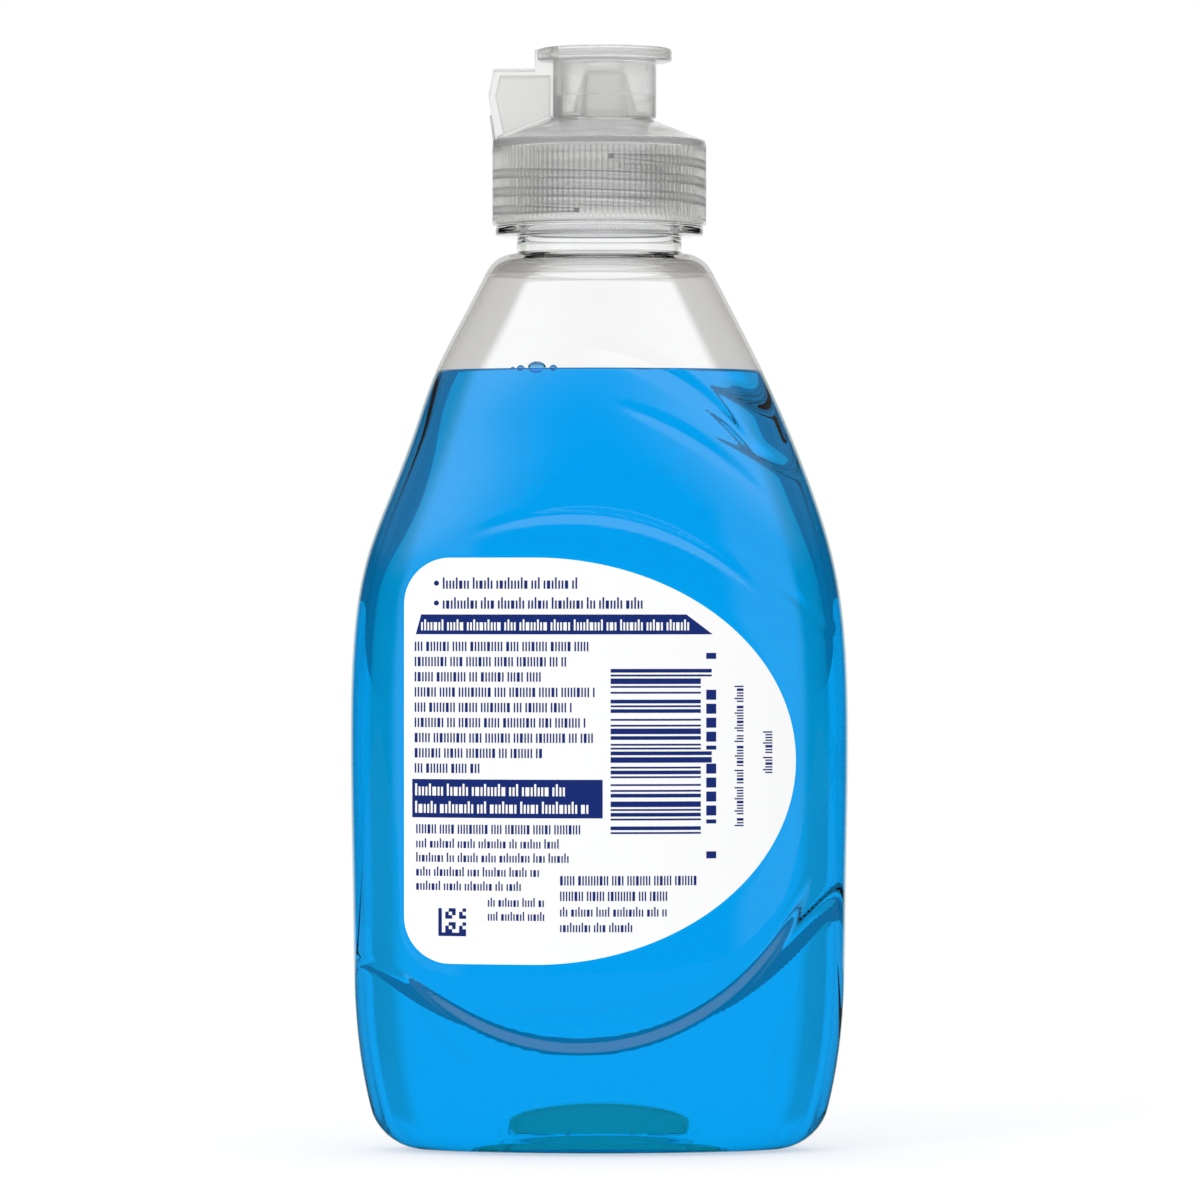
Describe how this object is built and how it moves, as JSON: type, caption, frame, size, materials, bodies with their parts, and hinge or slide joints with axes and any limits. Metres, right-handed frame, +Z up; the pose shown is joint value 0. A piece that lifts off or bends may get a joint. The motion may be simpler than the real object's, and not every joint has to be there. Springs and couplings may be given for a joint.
{
  "type": "dish soap bottle",
  "caption": "Clear oval squeeze bottle of blue dish soap with a ribbed screw cap, a hinged flip-top spout cover and a printed film label.",
  "frame": {"origin": "centre of the bottle's foot, on the surface that it stands on", "axes": "+Z up the bottle; the printed label faces -Y; the flip top's hinge is on the -X side"},
  "size_m": [0.0764, 0.0399, 0.1684],
  "materials": {
    "clear_bottle": "clear blow-moulded plastic, glossy",
    "blue_soap": "clear bright blue liquid",
    "label_film": "clear film with dark blue print",
    "cap_plastic": "natural translucent moulded plastic, satin"
  },
  "bodies": {
    "bottle_body": {"bottle": "clear_bottle", "liquid": "blue_soap", "back_label": "label_film"},
    "closure": {"closure_body": "cap_plastic"},
    "lid": {"flip_lid": "cap_plastic"}
  },
  "joints": [
    {"name": "cap_lift", "type": "slide", "parent": "bottle_body", "child": "closure", "axis": [0, 0, 1], "range_m": [0, 0.022]},
    {"name": "lid_hinge", "type": "hinge", "parent": "closure", "child": "lid", "pos_m": [-0.0159, 0, 0.1529], "axis": [0, -1, 0], "range_deg": [0, 135]}
  ]
}
